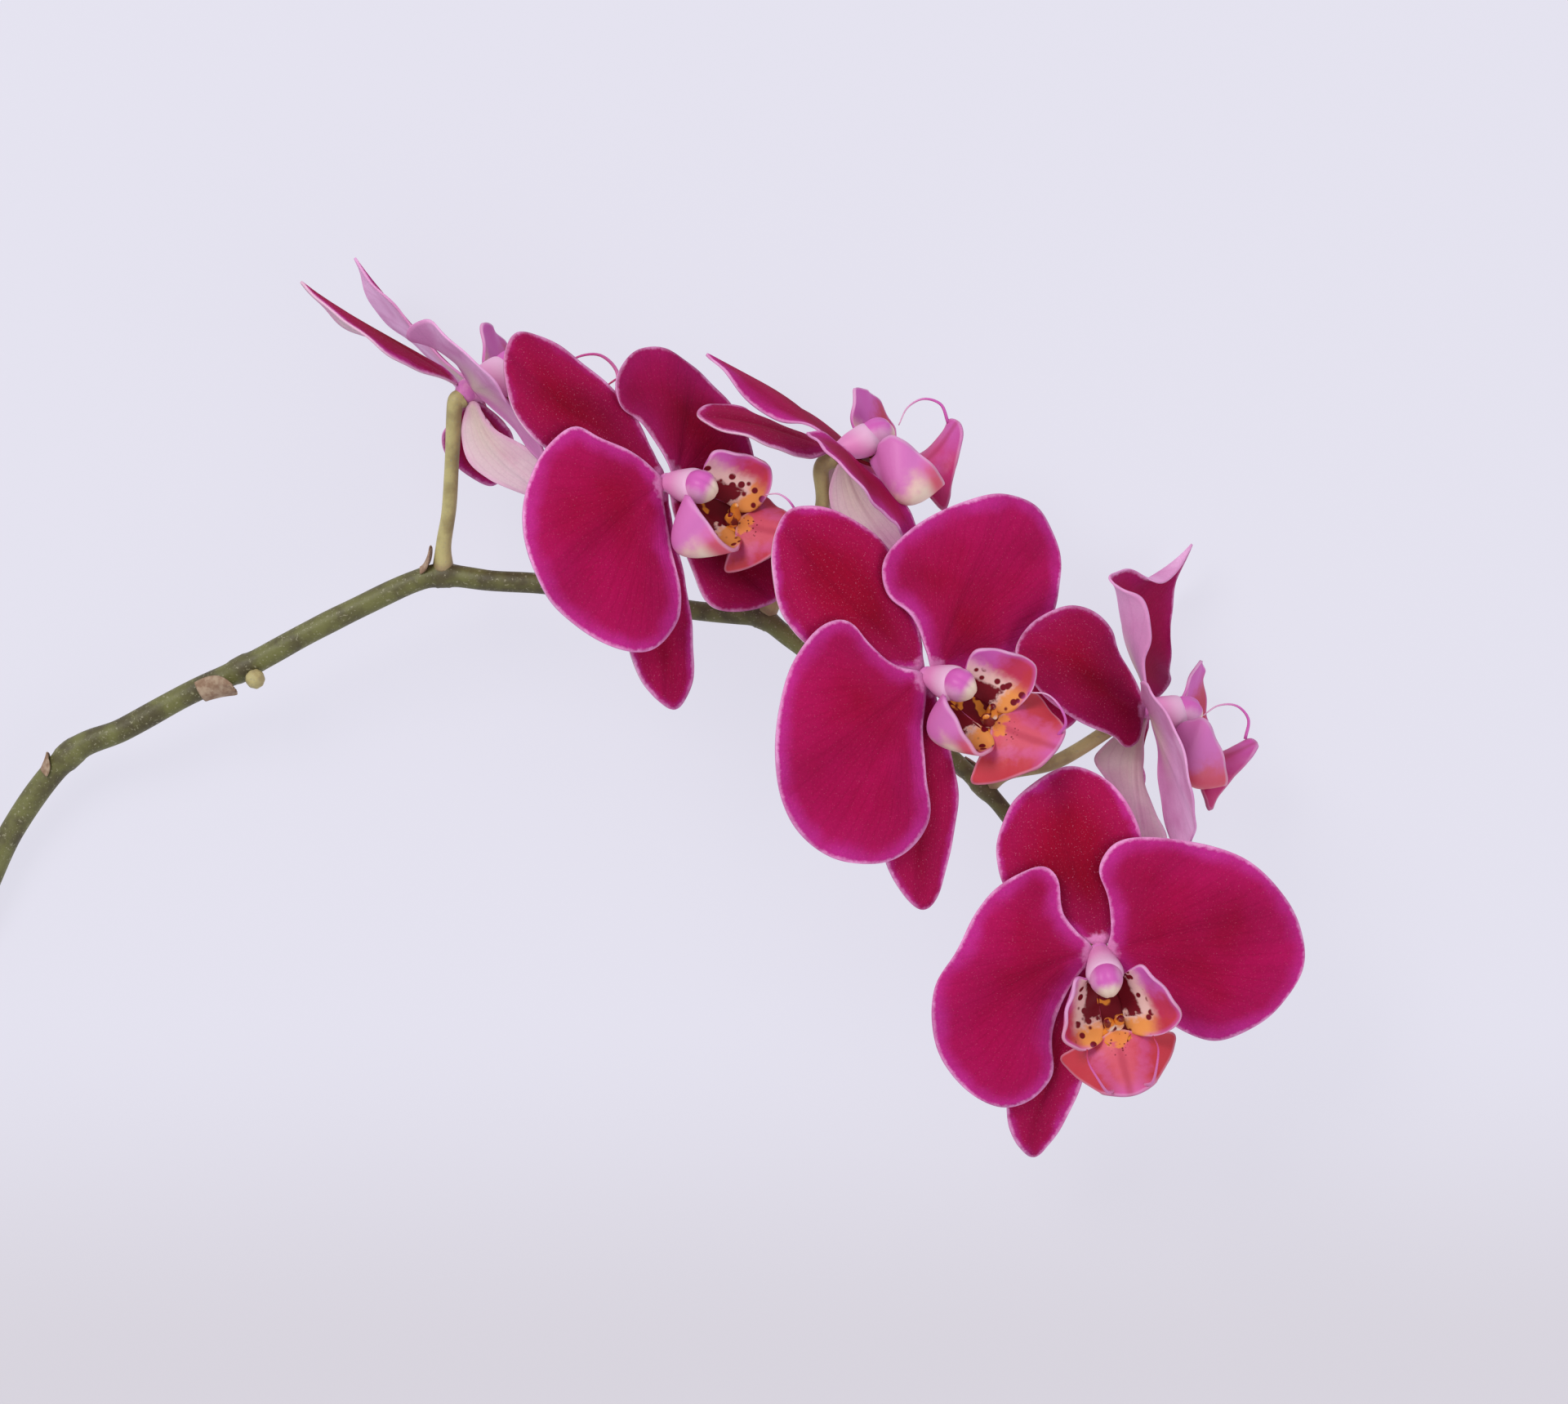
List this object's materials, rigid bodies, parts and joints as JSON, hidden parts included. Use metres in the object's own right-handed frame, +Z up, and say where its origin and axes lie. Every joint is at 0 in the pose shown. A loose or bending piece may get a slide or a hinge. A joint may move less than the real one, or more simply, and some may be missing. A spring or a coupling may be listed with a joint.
{
  "type": "moth orchid flower stem",
  "caption": "Cut moth orchid flower stem lying down, with open magenta blooms on stalks along an arching, jointed green stem.",
  "frame": {"origin": "centre of the bounding box's underside, on the surface that the stem lies on", "axes": "+Z up from that surface, +X along the stem's length from the cut end toward the youngest bloom, +Y across it toward the oldest blooms"},
  "size_m": [0.3418, 0.211, 0.0787],
  "materials": {
    "stem": "dark olive green plant skin, slightly waxy",
    "pedicel": "pale yellow-green plant skin, slightly waxy",
    "bract": "dry tan scale",
    "petal": "soft, satin, magenta with paler margins",
    "sepal": "soft, satin, crimson with pale mauve backs",
    "lip": "waxy, coral red and violet",
    "column": "waxy violet with a cream tip"
  },
  "bodies": {
    "root": {"stem": "stem", "bract_lower": "bract", "bract_middle": "bract", "bract_a": "bract", "bract_b": "bract", "bract_c": "bract", "bract_d": "bract", "bract_e": "bract", "bract_f": "bract", "dormant_bud": "pedicel", "bloom_a_pedicel": "pedicel", "bloom_a_column": "column", "bloom_a_lip": "lip", "bloom_a_dorsal_sepal": "sepal", "bloom_a_petal_left": "petal", "bloom_a_petal_right": "petal", "bloom_a_sepal_left": "sepal", "bloom_a_sepal_right": "sepal", "bloom_b_pedicel": "pedicel", "bloom_b_column": "column", "bloom_b_lip": "lip", "bloom_b_dorsal_sepal": "sepal", "bloom_b_petal_left": "petal", "bloom_b_petal_right": "petal", "bloom_b_sepal_left": "sepal", "bloom_b_sepal_right": "sepal", "bloom_c_pedicel": "pedicel", "bloom_c_column": "column", "bloom_c_lip": "lip", "bloom_c_dorsal_sepal": "sepal", "bloom_c_petal_left": "petal", "bloom_c_petal_right": "petal", "bloom_c_sepal_left": "sepal", "bloom_c_sepal_right": "sepal", "bloom_d_pedicel": "pedicel", "bloom_d_column": "column", "bloom_d_lip": "lip", "bloom_d_dorsal_sepal": "sepal", "bloom_d_petal_left": "petal", "bloom_d_petal_right": "petal", "bloom_d_sepal_left": "sepal", "bloom_d_sepal_right": "sepal", "bloom_e_pedicel": "pedicel", "bloom_e_column": "column", "bloom_e_lip": "lip", "bloom_e_dorsal_sepal": "sepal", "bloom_e_petal_left": "petal", "bloom_e_petal_right": "petal", "bloom_e_sepal_left": "sepal", "bloom_e_sepal_right": "sepal", "bloom_f_pedicel": "pedicel", "bloom_f_column": "column", "bloom_f_lip": "lip", "bloom_f_dorsal_sepal": "sepal", "bloom_f_petal_left": "petal", "bloom_f_petal_right": "petal", "bloom_f_sepal_left": "sepal", "bloom_f_sepal_right": "sepal"}
  },
  "joints": []
}
